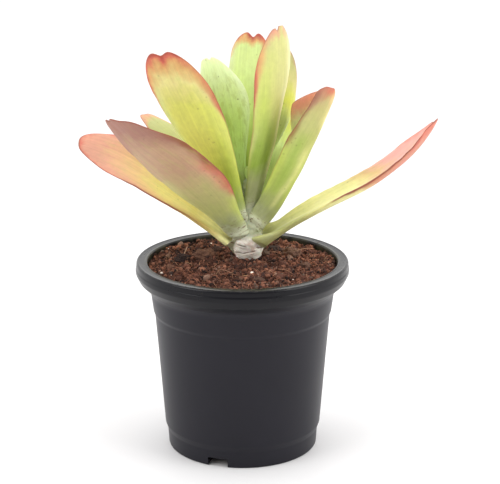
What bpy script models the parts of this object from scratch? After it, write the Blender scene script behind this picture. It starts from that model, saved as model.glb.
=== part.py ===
"""A potted paddle plant: a black nursery pot, coco peat, a short stem and a rosette of thick paddle leaves.

Run it with blender --background --python part.py, or from Blender's text editor.
Driving sizes are in millimetres and become metres through MM. Z is up, the ground is Z = 0, the pot's axis
is the Z axis, and -Y is the side that faces the viewer. Angles are in degrees, and an azimuth is measured
from +X towards +Y.
"""

import math

import bpy
import numpy as np

MM = 0.001

# Pot: a usual 13 cm nursery pot with a wide flat rim
RIM_RADIUS = 65.0
RIM_INNER_RADIUS = 57.8
POT_HEIGHT = 118.0
COLLAR_FOOT_HEIGHT = 85.0
FLARE_FOOT_HEIGHT = 98.5
FOOT_RADIUS = 46.0
FOOT_BAND_HEIGHT = 10.5
FOOT_RING_WIDTH = 2.4
FLOOR_LIFT = 1.2
FLOOR_THICKNESS = 1.6
POT_STEPS = 48

# Drain notches through the foot and the edge of the floor
NOTCH_COUNT = 3
NOTCH_FIRST_AZIMUTH = 251.0
NOTCH_WIDTH = 12.6
NOTCH_HEIGHT = 5.6
NOTCH_INNER_RADIUS = 37.0

# Gap that touching pieces keep, the shortest edge that a cut may leave on a leaf, and the distance at which a
# turned shape closes on itself
CLEARANCE = 0.3
SHORTEST_EDGE = 0.04
SEAM_DISTANCE = 0.02

# Soil, with clods given as x, y, radius and height
SOIL_EDGE_RADIUS = 57.1
SOIL_EDGE_HEIGHT = 114.4
SOIL_RINGS = (16.0, 22.0, 29.0, 36.0, 43.0, 50.0)
SOIL_MOUND = 3.6
SOIL_MOUND_RADIUS = 26.0
CRUMB_RELIEF = 0.55
CLODS = (
    (-21.0, -4.0, 7.0, 2.2),
    (-31.0, 6.0, 6.0, 1.8),
    (26.0, -1.0, 6.0, 1.9),
    (34.0, 15.0, 7.0, 2.0),
    (-36.0, -18.0, 6.0, 1.2),
    (12.0, -34.0, 6.0, 1.2),
    (-8.0, 36.0, 8.0, 1.8),
)

# Stem, which stands a little to the right of the pot's axis
STEM_X = 3.5
STEM_Y = 0.0
STEM_FOOT_HEIGHT = 92.0
STEM_STEPS = 24
STEM_TURN = 3.2

# How a leaf is worked out: the strides of its midrib, the parts of its section from midrib to margin, the
# share of that way in which it turns by the fold, and how much closer its lines lie near the tip
MIDRIB_STRIDES = 120
SECTION_PARTS = 8
FOLD_REACH = 0.16
TIP_CROWDING = 1.25

# Colours
PLASTIC = (0.035, 0.033, 0.037)
PEAT = (0.105, 0.050, 0.032)
WAX = (0.62, 0.58, 0.50)
GOLD = (0.56, 0.58, 0.16)
ROSE = (0.55, 0.33, 0.22)
PALE = (0.42, 0.56, 0.22)

# What a leaf measures where its own entry says nothing else. roll, cup and fold have a value at the base, at
# the middle and at the tip. A lobe is a place across the leaf, a width and a height as a share of the length.
# rows and columns are the mesh's lines along and across the leaf.
LEAF_USUAL = dict(
    rows=14,
    columns=9,
    arch=0.0,
    sag=0.0,
    sweep=0.0,
    roll=(0.0, 0.0, 0.0),
    cup=(48.0, 18.0, 9.0),
    fold=(0.0, 0.0, 0.0),
    widest=0.65,
    tip=0.26,
    taper=0.0,
    skew=0.0,
    lobes=((0.0, 0.2, -0.03),),
    thickness=3.6,
    base_thickness=5.0,
)

# The leaves, from the lowest pair up
LEAVES = {
    "leaf_left_low": dict(
        azimuth=175.0, height=126.2, start=8.1, rise=40.4, arch=-31.0, sag=9.2, sweep=-13.9,
        length=119.1, width=38.0, base_width=14.5, roll=(18.0, 20.6, 26.0), cup=(44.0, 20.0, 8.0),
        widest=0.7, tip=0.26, taper=0.2, skew=0.11, lobes=((0.0, 0.2, -0.02),), colour=ROSE,
    ),
    "leaf_right_long": dict(
        azimuth=357.0, height=127.5, start=8.0, rise=40.6, arch=21.8, sag=-23.7, sweep=11.7,
        length=132.8, width=34.1, base_width=15.0, roll=(-9.0, 1.7, 8.2), cup=(42.0, 28.3, 34.3),
        widest=0.445, tip=0.1, skew=0.12, colour=ROSE,
    ),
    "leaf_back_low": dict(
        azimuth=94.5, height=128.0, start=8.0, rise=46.0, arch=4.0, sweep=3.0,
        length=80.0, width=29.0, base_width=10.0, cup=(45.0, 16.0, 8.0), tip=0.24, colour=GOLD,
    ),
    "leaf_front_left": dict(
        azimuth=219.0, height=133.7, start=7.8, rise=55.5, arch=-12.0, sag=-8.0, sweep=-4.0,
        length=123.0, width=37.5, base_width=14.0, roll=(-35.0, -35.0, -15.0), cup=(45.0, 25.0, 8.0),
        widest=0.4, tip=0.29, taper=-0.03, skew=0.07, lobes=((0.1, 0.2, -0.04),), colour=ROSE,
    ),
    "leaf_back_right": dict(
        azimuth=55.0, height=134.0, start=7.0, rise=54.0, arch=8.0, sweep=-4.0,
        length=84.0, width=28.0, base_width=11.5, cup=(45.0, 18.0, 10.0), tip=0.26, colour=GOLD,
    ),
    "leaf_back_left": dict(
        azimuth=137.0, height=137.5, start=6.6, rise=41.0, arch=-7.0, sag=2.0, sweep=14.0,
        length=98.5, width=28.0, base_width=10.0, roll=(0.0, 14.0, -10.0), tip=0.24, widest=0.62,
        colour=PALE,
    ),
    "leaf_right_folded": dict(
        azimuth=334.0, height=141.0, start=6.4, rise=44.6, arch=21.3, sag=7.4, sweep=38.3,
        length=97.5, width=42.1, base_width=14.5, roll=(41.3, 9.9, -23.8), cup=(39.0, 26.0, 10.0),
        fold=(14.0, 31.9, 67.8), widest=0.7, tip=0.04, skew=0.15, colour=GOLD,
    ),
    "leaf_left_high": dict(
        azimuth=207.0, height=143.0, start=6.4, rise=70.6, arch=-6.0, sag=-4.0, sweep=-1.0,
        length=118.6, width=38.8, base_width=14.0, roll=(-31.0, -34.0, -42.0), widest=0.656, tip=0.223,
        taper=0.04, skew=0.07, lobes=((-0.05, 0.16, -0.035),), colour=GOLD,
    ),
    "leaf_back_tall": dict(
        azimuth=89.5, height=152.0, start=4.2, rise=74.0, arch=2.0, sag=-2.0, sweep=-7.0,
        length=104.0, width=28.0, base_width=11.0, roll=(0.0, 4.0, 20.0), cup=(50.0, 15.0, 9.0),
        widest=0.62, tip=0.14, taper=0.12, lobes=((-0.1, 0.2, -0.03),), base_thickness=4.4, colour=PALE,
    ),
    "leaf_front_tall": dict(
        azimuth=305.0, height=153.5, start=3.2, rise=68.5, arch=27.8, sag=-6.0, sweep=12.0,
        length=113.1, width=33.0, base_width=10.0, roll=(20.0, -14.0, 0.3), cup=(53.0, 22.0, 16.0),
        widest=0.73, tip=0.275, taper=0.2, skew=-0.08, lobes=((0.1, 0.1, -0.025), (0.32, 0.12, 0.04)),
        base_thickness=4.0, colour=GOLD,
    ),
    "leaf_left_inner": dict(
        azimuth=165.8, height=161.4, start=3.4, rise=70.9, arch=7.5, sag=2.0, sweep=3.8,
        length=82.5, width=36.4, base_width=9.0, roll=(32.0, 54.0, 22.0), cup=(50.0, 36.0, 21.0),
        widest=0.67, tip=0.325, taper=0.1, skew=-0.11, lobes=((0.3, 0.12, 0.02), (0.1, 0.1, -0.02)),
        base_thickness=4.0, colour=PALE,
    ),
    "leaf_right_inner": dict(
        azimuth=355.0, height=162.5, start=3.3, rise=73.0, arch=23.0, sag=-7.0, sweep=-12.0,
        length=88.5, width=30.0, base_width=8.5, roll=(30.0, 46.0, 30.0), cup=(50.0, 18.0, 14.0),
        base_thickness=4.0, colour=PALE,
    ),
    "leaf_young_back": dict(
        azimuth=80.0, height=167.0, start=1.0, rise=88.0, arch=2.0,
        length=9.0, width=4.4, base_width=2.2, cup=(30.0, 35.0, 20.0), tip=0.2,
        thickness=1.6, base_thickness=1.4, rows=8, columns=7, colour=PALE,
    ),
    "leaf_young_front": dict(
        azimuth=250.0, height=167.1, start=1.0, rise=88.0, arch=2.0,
        length=8.0, width=4.4, base_width=2.2, cup=(30.0, 35.0, 20.0), tip=0.2,
        thickness=1.6, base_thickness=1.4, rows=8, columns=7, colour=PALE,
    ),
}


def clear_scene():
    """Remove every object of the scene."""
    for thing in list(bpy.data.objects):
        bpy.data.objects.remove(thing, do_unlink=True)


def new_collection(name):
    """Make a collection and link it to the scene."""
    collection = bpy.data.collections.new(name)
    bpy.context.scene.collection.children.link(collection)
    return collection


def make_material(name, colour, roughness):
    """Make a Principled BSDF material."""
    material = bpy.data.materials.new(name)
    material.use_nodes = True
    material.diffuse_color = (*colour, 1.0)
    shader = material.node_tree.nodes["Principled BSDF"]
    shader.inputs["Base Color"].default_value = (*colour, 1.0)
    shader.inputs["Roughness"].default_value = roughness
    shader.inputs["Metallic"].default_value = 0.0
    return material


def add_object(name, mesh, collection, material=None):
    """Put a mesh in the scene as a named object."""
    thing = bpy.data.objects.new(name, mesh)
    if material is not None:
        mesh.materials.append(material)
    collection.objects.link(thing)
    return thing


def turn(name, profile, steps, collection, material=None):
    """Turn a profile of (radius, height) points in millimetres round the Z axis with a Screw modifier."""
    points = [(radius * MM, 0.0, height * MM) for radius, height in profile]
    edges = [(i, i + 1) for i in range(len(points) - 1)]
    mesh = bpy.data.meshes.new(name)
    mesh.from_pydata(points, edges, [])
    thing = add_object(name, mesh, collection, material)
    screw = thing.modifiers.new("Turn", "SCREW")
    screw.steps = steps
    screw.render_steps = steps
    screw.use_merge_vertices = True
    screw.merge_threshold = SEAM_DISTANCE * MM
    screw.use_smooth_shade = True
    return thing


def apply_modifiers(thing):
    """Replace an object's mesh by its evaluated one and drop the modifiers."""
    graph = bpy.context.evaluated_depsgraph_get()
    mesh = bpy.data.meshes.new_from_object(thing.evaluated_get(graph))
    thing.modifiers.clear()
    thing.data = mesh


def smooth_by_angle(thing, degrees=35.0):
    """Shade a mesh smooth, with its sharp edges kept."""
    thing.data.shade_smooth()
    thing.data.set_sharp_from_angle(angle=math.radians(degrees))


def cut(thing, cutter):
    """Subtract a cutter from an object."""
    boolean = thing.modifiers.new("Cut " + cutter.name, "BOOLEAN")
    boolean.operation = "DIFFERENCE"
    boolean.solver = "EXACT"
    boolean.object = cutter


def hide_cutter(cutter):
    """Show a cutter as wire only."""
    cutter.hide_render = True
    cutter.display_type = "WIRE"


def pot_inner_wall():
    """Inner side of the pot, from the floor up to the rim, as (radius, height) points."""
    floor = FLOOR_LIFT + FLOOR_THICKNESS
    return [
        (FOOT_RADIUS - 2.0, floor),
        (FOOT_RADIUS - 1.2, floor + 0.8),
        (46.7, 15.0),
        (49.6, 53.5),
        (51.9, COLLAR_FOOT_HEIGHT),
        (54.4, FLARE_FOOT_HEIGHT),
        (57.2, 108.0),
        (RIM_INNER_RADIUS, POT_HEIGHT - 1.0),
    ]


def pot_outer_wall():
    """Outer side of the pot, from the rim's top down to the foot: lip, flare, collar, wall and foot band."""
    return [
        (RIM_INNER_RADIUS + 0.7, POT_HEIGHT - 0.2),
        (RIM_INNER_RADIUS + 1.6, POT_HEIGHT - 0.6),
        (RIM_RADIUS - 2.4, POT_HEIGHT - 0.4),
        (RIM_RADIUS - 1.3, POT_HEIGHT),
        (RIM_RADIUS - 0.5, POT_HEIGHT - 1.0),
        (RIM_RADIUS - 0.3, POT_HEIGHT - 3.9),
        (RIM_RADIUS, POT_HEIGHT - 4.5),
        (RIM_RADIUS, POT_HEIGHT - 7.0),
        (RIM_RADIUS - 2.2, POT_HEIGHT - 11.5),
        (57.7, 101.7),
        (56.4, FLARE_FOOT_HEIGHT + 0.8),
        (55.9, FLARE_FOOT_HEIGHT - 0.8),
        (54.5, COLLAR_FOOT_HEIGHT + 2.0),
        (53.6, COLLAR_FOOT_HEIGHT),
        (51.1, 53.5),
        (48.1, FOOT_BAND_HEIGHT + 4.0),
        (46.6, FOOT_BAND_HEIGHT),
        (FOOT_RADIUS, 0.7),
        (FOOT_RADIUS - 0.6, 0.0),
    ]


def make_pot(parts, cutters):
    """A turned pot with a raised floor and three drain notches in its foot."""
    foot_inner = FOOT_RADIUS - FOOT_RING_WIDTH
    profile = [(0.0, FLOOR_LIFT + FLOOR_THICKNESS)]
    profile += pot_inner_wall()
    profile += pot_outer_wall()
    profile += [(foot_inner, 0.0), (foot_inner - 0.5, FLOOR_LIFT), (0.0, FLOOR_LIFT)]
    pot = turn("pot", profile, POT_STEPS, parts, make_material("pot plastic", PLASTIC, 0.45))
    for number in range(NOTCH_COUNT):
        cut(pot, make_notch_cutter("pot_notch_%d" % number, number, 0.0, cutters))
    return pot


def make_notch_cutter(name, number, growth, cutters):
    """A block where a drain notch lies, larger all round by growth."""
    azimuth = math.radians(NOTCH_FIRST_AZIMUTH + number * 360.0 / NOTCH_COUNT)
    inner = NOTCH_INNER_RADIUS - growth
    outer = FOOT_RADIUS + 6.0
    low = -2.0
    high = NOTCH_HEIGHT + growth
    bpy.ops.mesh.primitive_cube_add(size=1.0)
    cutter = bpy.context.object
    cutter.name = name
    cutter.dimensions = ((outer - inner) * MM, (NOTCH_WIDTH + 2.0 * growth) * MM, (high - low) * MM)
    middle = 0.5 * (inner + outer) * MM
    cutter.location = (middle * math.cos(azimuth), middle * math.sin(azimuth), 0.5 * (low + high) * MM)
    cutter.rotation_euler = (0.0, 0.0, azimuth)
    for collection in list(cutter.users_collection):
        collection.objects.unlink(cutter)
    cutters.objects.link(cutter)
    hide_cutter(cutter)
    return cutter


def stem_profile(growth=0.0):
    """The stem's outline from its top down: a tapering shoot, a thick scarred stub and the rooted foot."""
    outline = [
        (2.2, 168.0),
        (3.3, 163.0),
        (4.2, 158.0),
        (5.2, 152.0),
        (7.0, 146.0),
        (8.2, 140.0),
        (8.7, 134.0),
        (9.0, 129.0),
        (10.2, 124.5),
        (9.7, 122.6),
        (10.1, 120.5),
        (8.8, 117.0),
        (8.0, 112.0),
        (7.6, STEM_FOOT_HEIGHT + 2.5),
        (6.4, STEM_FOOT_HEIGHT),
    ]
    grown = [(radius + growth, height) for radius, height in outline]
    top = [(0.0, outline[0][1] + 1.3 + growth)]
    foot = [(outline[-1][0] + growth, STEM_FOOT_HEIGHT - growth), (0.0, STEM_FOOT_HEIGHT - growth)]
    return top + grown + (foot if growth else foot[1:])


def make_stem(parts):
    """The stem."""
    stem = turn("stem", stem_profile(), STEM_STEPS, parts, make_material("stem wax", WAX, 0.8))
    stem.location = (STEM_X * MM, STEM_Y * MM, 0.0)
    stem.rotation_euler = (0.0, 0.0, math.radians(STEM_TURN))
    return stem


def make_stem_cutter(cutters):
    """The stem's shape with the clearance added, for the hole in the soil and the seats of the leaves."""
    cutter = turn("stem_clearance", stem_profile(CLEARANCE), STEM_STEPS, cutters)
    cutter.location = (STEM_X * MM, STEM_Y * MM, 0.0)
    cutter.rotation_euler = (0.0, 0.0, math.radians(STEM_TURN))
    hide_cutter(cutter)
    return cutter


def soil_height(x, y):
    """Height of the soil in millimetres at x and y.

    A low mound round the stem, a few clods as rounded bumps, and a crumb relief that is the product of
    crossed waves.
    """
    height = SOIL_EDGE_HEIGHT + SOIL_MOUND * np.exp(-((x - STEM_X) ** 2 + y ** 2) / SOIL_MOUND_RADIUS ** 2)
    for clod_x, clod_y, radius, bump in CLODS:
        height = height + bump * np.exp(-((x - clod_x) ** 2 + (y - clod_y) ** 2) / radius ** 2)
    waves = np.sin(0.71 * x + 0.38 * y + 0.6) * np.cos(0.33 * x - 0.64 * y)
    return height + CRUMB_RELIEF * waves


def make_soil(parts, cutters, stem_cutter):
    """Coco peat that fills the pot, with a hole for the stem and set back from the drain notches."""
    bottom = FLOOR_LIFT + FLOOR_THICKNESS + CLEARANCE
    edge = [(radius - CLEARANCE, height) for radius, height in pot_inner_wall()[1:-1]]
    profile = [(radius, SOIL_EDGE_HEIGHT) for radius in (0.0, *SOIL_RINGS, SOIL_EDGE_RADIUS)]
    profile += [(SOIL_EDGE_RADIUS, SOIL_EDGE_HEIGHT - 2.0)]
    profile += list(reversed(edge))
    profile += [(FOOT_RADIUS - 2.0 - CLEARANCE, bottom), (0.0, bottom)]
    soil = turn("soil", profile, POT_STEPS, parts, make_material("coco peat", PEAT, 1.0))
    apply_modifiers(soil)
    points = np.empty(len(soil.data.vertices) * 3)
    soil.data.vertices.foreach_get("co", points)
    points = points.reshape(-1, 3)
    top = points[:, 2] > (SOIL_EDGE_HEIGHT - 0.5) * MM
    points[top, 2] = soil_height(points[top, 0] / MM, points[top, 1] / MM) * MM
    soil.data.vertices.foreach_set("co", points.ravel())
    soil.data.update()
    triangulate = soil.modifiers.new("Triangulate", "TRIANGULATE")
    triangulate.quad_method = "FIXED"
    cut(soil, stem_cutter)
    for number in range(NOTCH_COUNT):
        cut(soil, make_notch_cutter("soil_notch_%d" % number, number, CLEARANCE, cutters))
    return soil


def ease(share):
    """A smooth step from 0 to 1."""
    share = np.clip(share, 0.0, 1.0)
    return share * share * (3.0 - 2.0 * share)


def along_leaf(values, share):
    """A smooth curve through a value at the base, one at the middle and one at the tip."""
    base, middle, tip = values
    first = base + (middle - base) * ease(share / 0.5)
    second = middle + (tip - middle) * ease((share - 0.5) / 0.5)
    return np.where(share < 0.5, first, second)


def leaf_midrib(leaf, share):
    """Points of the midrib, and the directions across and out of the upper face there.

    The midrib climbs at the rise angle, plus the arch in step with the share of the length, plus the sag
    as half a wave. It swings sideways by the sweep in step with the share. The leaf grows from the origin
    towards +X, and roll turns its faces about the midrib.
    """
    steps = (np.arange(MIDRIB_STRIDES) + 0.5) / MIDRIB_STRIDES

    def direction(at):
        climb = np.radians(leaf["rise"] + leaf["arch"] * at + leaf["sag"] * np.sin(np.pi * at))
        swing = np.radians(leaf["sweep"] * at)
        return climb, swing

    climb, swing = direction(steps)
    strides = np.stack([np.cos(climb) * np.cos(swing), np.cos(climb) * np.sin(swing), np.sin(climb)], axis=-1)
    line = np.vstack([np.zeros(3), np.cumsum(strides, axis=0)]) * leaf["length"] / MIDRIB_STRIDES
    marks = np.linspace(0.0, 1.0, MIDRIB_STRIDES + 1)
    midrib = np.stack([np.interp(share, marks, line[:, axis]) for axis in range(3)], axis=-1)
    climb, swing = direction(share)
    level = np.zeros_like(swing)
    out = np.stack([-np.sin(climb) * np.cos(swing), -np.sin(climb) * np.sin(swing), np.cos(climb)], axis=-1)
    across = np.stack([-np.sin(swing), np.cos(swing), level], axis=-1)
    roll = np.radians(along_leaf(leaf["roll"], share))[:, None]
    return midrib, across * np.cos(roll) - out * np.sin(roll), out * np.cos(roll) + across * np.sin(roll)


def leaf_points(leaf, along, side, face):
    """Points of a leaf's skin, for flat arrays along (0 to 1), side (-1 to 1) and face (1 or -1).

    The tip's outline is a rounded end with lobes, which shortens each line from base to tip. The section is
    a strip bent from the midrib to the margin: it turns by the fold close to the midrib and by the cup
    evenly, so its points are the sums of the cosines and sines of that angle. The skin lies half the
    thickness off the strip, down to nothing at the margins and the tip.
    """
    spread = np.abs(side)
    round_end = 1.0 - np.sqrt(np.clip(1.0 - spread ** 2.2, 0.0, 1.0))
    reach = 1.0 - leaf["tip"] * round_end - leaf["skew"] * 0.5 * (side + side ** 2)
    for place, width, height in leaf["lobes"]:
        reach = reach + height * np.exp(-((side - place) / width) ** 2)
    share = along * reach
    midrib, across, out = leaf_midrib(leaf, share)

    narrow = leaf["base_width"] / leaf["width"]
    half_width = 0.5 * leaf["width"] * (narrow + (1.0 - narrow) * ease(share / leaf["widest"]))
    half_width = half_width * (1.0 - leaf["taper"] * ease((share - leaf["widest"]) / (1.0 - leaf["widest"])))
    fold = np.radians(along_leaf(leaf["fold"], share))
    cup = np.radians(along_leaf(leaf["cup"], share))
    run = np.zeros_like(share)
    lift = np.zeros_like(share)
    for number in range(SECTION_PARTS):
        at = spread * (number + 0.5) / SECTION_PARTS
        angle = fold * np.tanh(at / FOLD_REACH) + cup * at
        run += np.cos(angle) / SECTION_PARTS
        lift += np.sin(angle) / SECTION_PARTS
    angle = fold * np.tanh(spread / FOLD_REACH) + cup * spread
    strip = midrib + across * (run * side * half_width)[:, None] + out * (lift * spread * half_width)[:, None]
    skin = out * np.cos(angle)[:, None] - across * (np.sin(angle) * np.sign(side))[:, None]

    thickness = leaf["thickness"] + (leaf["base_thickness"] - leaf["thickness"]) * (1.0 - ease(share / 0.3))
    thickness = thickness * (1.0 - 0.35 * ease((share - 0.5) / 0.5))
    thin = np.sqrt(np.clip(1.0 - side ** 4, 0.0, 1.0)) * np.sqrt(np.clip(1.0 - along ** 10, 0.0, 1.0))
    return strip + skin * (0.5 * face * thickness * thin)[:, None]


def leaf_mesh(name, leaf):
    """Loft a leaf between its sections, closed by a cap at the base and by the tip line."""
    rows = leaf["rows"]
    columns = leaf["columns"]
    lines = 1.0 - (1.0 - np.linspace(0.0, 1.0, rows)) ** TIP_CROWDING
    spots = np.sin(np.linspace(-0.5 * np.pi, 0.5 * np.pi, columns))
    ring = np.concatenate([spots, spots[-2:0:-1]])
    skins = np.concatenate([np.ones(columns), -np.ones(columns - 2)])
    around = len(ring)
    along = np.concatenate([np.repeat(lines[:-1], around), np.ones(columns)])
    side = np.concatenate([np.tile(ring, rows - 1), spots])
    face = np.concatenate([np.tile(skins, rows - 1), np.ones(columns)])
    points = leaf_points(leaf, along, side, face)
    points = np.vstack([points, points[:around].mean(axis=0)])
    tip_row = (rows - 1) * around
    cap = len(points) - 1

    def corner(row, place):
        place %= around
        if row < rows - 1:
            return row * around + place
        return tip_row + (place if place < columns else around - place)

    faces = [(cap, corner(0, place), corner(0, place + 1)) for place in range(around)]
    for row in range(rows - 1):
        for place in range(around):
            low = corner(row, place)
            low_next = corner(row, place + 1)
            high = corner(row + 1, place)
            high_next = corner(row + 1, place + 1)
            if place % (columns - 1) < (columns - 1) / 2:
                pair = ((low, high, low_next), (high, high_next, low_next))
            else:
                pair = ((low, high, high_next), (low, high_next, low_next))
            faces += [corners for corners in pair if len(set(corners)) == 3]
    mesh = bpy.data.meshes.new(name)
    mesh.from_pydata((points * MM).tolist(), [], faces)
    mesh.validate()
    return mesh


def make_leaf(name, entry, parts, stem_cutter):
    """One leaf, set at its place on the stem and cut to the stem's round."""
    leaf = dict(LEAF_USUAL)
    leaf.update(entry)
    material = make_material(name.replace("_", " ") + " flesh", leaf["colour"], 0.45)
    thing = add_object(name, leaf_mesh(name, leaf), parts, material)
    azimuth = math.radians(leaf["azimuth"])
    x = STEM_X + leaf["start"] * math.cos(azimuth)
    y = STEM_Y + leaf["start"] * math.sin(azimuth)
    thing.location = (x * MM, y * MM, leaf["height"] * MM)
    thing.rotation_euler = (0.0, 0.0, azimuth)
    smooth_by_angle(thing)
    cut(thing, stem_cutter)
    weld = thing.modifiers.new("Weld", "WELD")
    weld.merge_threshold = SHORTEST_EDGE * MM
    return thing


def main():
    clear_scene()
    parts = new_collection("potted paddle plant")
    cutters = new_collection("cutters")
    stem_cutter = make_stem_cutter(cutters)
    make_pot(parts, cutters)
    make_soil(parts, cutters, stem_cutter)
    make_stem(parts)
    for name, entry in LEAVES.items():
        make_leaf(name, entry, parts, stem_cutter)


main()
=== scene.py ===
"""The looks of a potted paddle plant: blushed fleshy leaves, a scarred stem, coco peat and a nursery pot.

Sizes are in millimetres and become metres through MM, and angles are in degrees, as in the plant's model.
Z is up, the pot's axis is the Z axis and -Y is the viewer's side. Every surface is a function of two
parameters that numpy works out on a grid.
"""

import math
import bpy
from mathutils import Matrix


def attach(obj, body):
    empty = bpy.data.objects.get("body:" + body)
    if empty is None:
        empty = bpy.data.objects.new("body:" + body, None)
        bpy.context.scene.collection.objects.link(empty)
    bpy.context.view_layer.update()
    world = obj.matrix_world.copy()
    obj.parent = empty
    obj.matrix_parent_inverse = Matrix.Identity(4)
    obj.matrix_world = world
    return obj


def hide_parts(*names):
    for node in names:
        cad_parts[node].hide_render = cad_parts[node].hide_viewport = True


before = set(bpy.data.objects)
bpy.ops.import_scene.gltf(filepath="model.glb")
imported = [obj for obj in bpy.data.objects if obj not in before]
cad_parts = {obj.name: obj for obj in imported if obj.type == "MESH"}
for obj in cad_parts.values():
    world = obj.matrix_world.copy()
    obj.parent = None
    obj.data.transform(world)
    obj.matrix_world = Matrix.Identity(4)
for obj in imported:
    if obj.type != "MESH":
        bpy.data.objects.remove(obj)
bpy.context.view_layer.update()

from types import SimpleNamespace

import bmesh
import bpy
import numpy as np

MM = 0.001

# Camera: where it stands, how far it looks down, and its lens on a sensor of that width
CAMERA_PLACE = (4.6, -970.5, 414.1)
CAMERA_DIP = 16.387
CAMERA_LENS = 120.0
SENSOR_WIDTH = 36.0

# Pot
RIM_RADIUS = 65.0
RIM_INNER_RADIUS = 57.8
POT_HEIGHT = 118.0
COLLAR_FOOT_HEIGHT = 85.0
FLARE_FOOT_HEIGHT = 98.5
FOOT_RADIUS = 46.0
FOOT_BAND_HEIGHT = 10.5
FOOT_RING_WIDTH = 2.4
FLOOR_LIFT = 1.2
FLOOR_THICKNESS = 1.6
NOTCH_COUNT = 3
NOTCH_FIRST_AZIMUTH = 251.0
NOTCH_WIDTH = 12.6
NOTCH_HEIGHT = 5.6
NOTCH_INNER_RADIUS = 37.0
POT_STEPS = 240

# Stem: its axis, and its outline from the top down as (radius, height), a tapering shoot, a thick scarred
# stub and the rooted foot
STEM_X, STEM_Y = 3.5, 0.0
STEM = np.array([STEM_X, STEM_Y, 0.0])
STEM_FOOT_HEIGHT = 92.0
STEM_OUTLINE = (
    (0.0, 169.3), (2.2, 168.0), (3.3, 163.0), (4.2, 158.0), (5.2, 152.0), (7.0, 146.0), (8.2, 140.0),
    (8.8, 134.0), (9.7, 130.0), (9.4, 127.0), (8.4, 123.8), (7.2, 121.2), (6.2, 118.8), (5.8, 115.0),
    (6.4, STEM_FOOT_HEIGHT + 2.5), (5.4, STEM_FOOT_HEIGHT), (0.0, STEM_FOOT_HEIGHT),
)

# Leaf scars round the stem: height, tilt, direction of the tilt and depth
SCARS = (
    (116.4, 1.6, 200.0, 0.5),
    (119.0, 2.2, 330.0, 0.45),
    (122.2, 1.8, 250.0, 0.6),
    (125.4, 2.4, 30.0, 0.4),
    (128.6, 1.6, 160.0, 0.5),
)

# Soil, with the low bumps of its surface as x, y, radius and height. Loose bits keep STEM_CLEAR away from
# the stem's axis, but those piled up against it start at PILE_FOOT and end at PILE_REACH.
CLEARANCE = 0.3
SOIL_EDGE_HEIGHT = 114.4
SOIL_MOUND = 3.6
SOIL_MOUND_RADIUS = 26.0
SOIL_EDGE_RADIUS = 57.1
SOIL_BUMPS = (
    (-21.0, -4.0, 7.0, 2.2),
    (-31.0, 6.0, 6.0, 1.8),
    (26.0, -1.0, 6.0, 1.9),
    (34.0, 15.0, 7.0, 2.0),
    (-36.0, -18.0, 6.0, 1.2),
    (12.0, -34.0, 6.0, 1.2),
    (-8.0, 36.0, 8.0, 1.8),
)
STEM_CLEAR = 6.6
PILE_FOOT = 5.2
PILE_REACH = 9.5
PILE_HEIGHT = 1.5

# Leaves: how far a heel bends before it runs down the stem, how many rings of points it has, and how far
# from the midrib a fold reaches, as a share of the half width
HEEL_BEND = 3.5
HEEL_ROWS = 12
FOLD_REACH = 0.16


def srgb(red, green, blue):
    """A colour given as screen values from 0 to 255, in linear light and with full opacity."""
    screen = np.array([red, green, blue]) / 255.0
    linear = np.where(screen < 0.04045, screen / 12.92, ((screen + 0.055) / 1.055) ** 2.4)
    return (*linear.tolist(), 1.0)


# Large clods: x, y, radius, height and tint. Straws: start, end, how far they bow up, radius and tint.
# Grit: x, y and size.
LARGE_CLODS = (
    (-22.5, 5.0, 7.4, 4.4, srgb(96, 66, 52)),
    (-36.0, 4.0, 5.0, 3.2, srgb(48, 37, 35)),
    (30.0, 12.0, 5.4, 3.4, srgb(104, 76, 62)),
    (20.0, 26.0, 4.4, 2.2, srgb(50, 39, 36)),
    (-15.0, 25.0, 4.2, 2.2, srgb(66, 47, 40)),
    (38.0, -6.0, 3.6, 1.8, srgb(84, 60, 49)),
    (10.0, -37.0, 3.2, 1.6, srgb(74, 53, 44)),
    (-44.0, -8.0, 3.0, 1.6, srgb(92, 62, 48)),
)
STRAWS = (
    ((-36.5, 12.0, 115.5), (-34.0, 13.0, 122.0), 0.0, 0.32, srgb(196, 160, 132)),
    ((44.0, 36.0, 115.0), (49.5, 35.4, 119.2), 0.4, 0.22, srgb(82, 68, 58)),
    ((33.0, 20.0, 116.8), (44.0, 24.0, 117.2), 1.0, 0.22, srgb(170, 128, 100)),
    ((-6.0, -27.0, 117.4), (-15.0, -24.0, 118.4), 0.8, 0.2, srgb(168, 122, 94)),
    ((22.0, -18.0, 117.0), (30.0, -26.0, 116.6), 1.0, 0.2, srgb(160, 112, 84)),
)
GRIT = (
    (-46.0, 29.0, 0.7),
    (-48.2, -20.4, 0.65),
    (-42.4, -25.5, 0.32),
    (5.8, -24.5, 0.8),
    (30.0, -34.0, 0.28),
    (-20.0, 41.0, 0.5),
)

# Tints of the peat bed, of its crumbs and of the fibres, each with the share of crumbs or fibres that have
# it
PEAT_BED = srgb(66, 40, 31)
CRUMB_TINTS = (
    (srgb(112, 70, 52), 0.22),
    (srgb(98, 60, 46), 0.18),
    (srgb(80, 50, 40), 0.16),
    (srgb(60, 41, 36), 0.14),
    (srgb(44, 33, 31), 0.11),
    (srgb(136, 86, 62), 0.09),
    (srgb(88, 70, 60), 0.05),
    (srgb(124, 94, 78), 0.05),
)
FIBRE_TINTS = (
    (srgb(146, 92, 66), 0.35),
    (srgb(112, 66, 50), 0.35),
    (srgb(176, 132, 98), 0.1),
    (srgb(82, 50, 42), 0.2),
)

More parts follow.
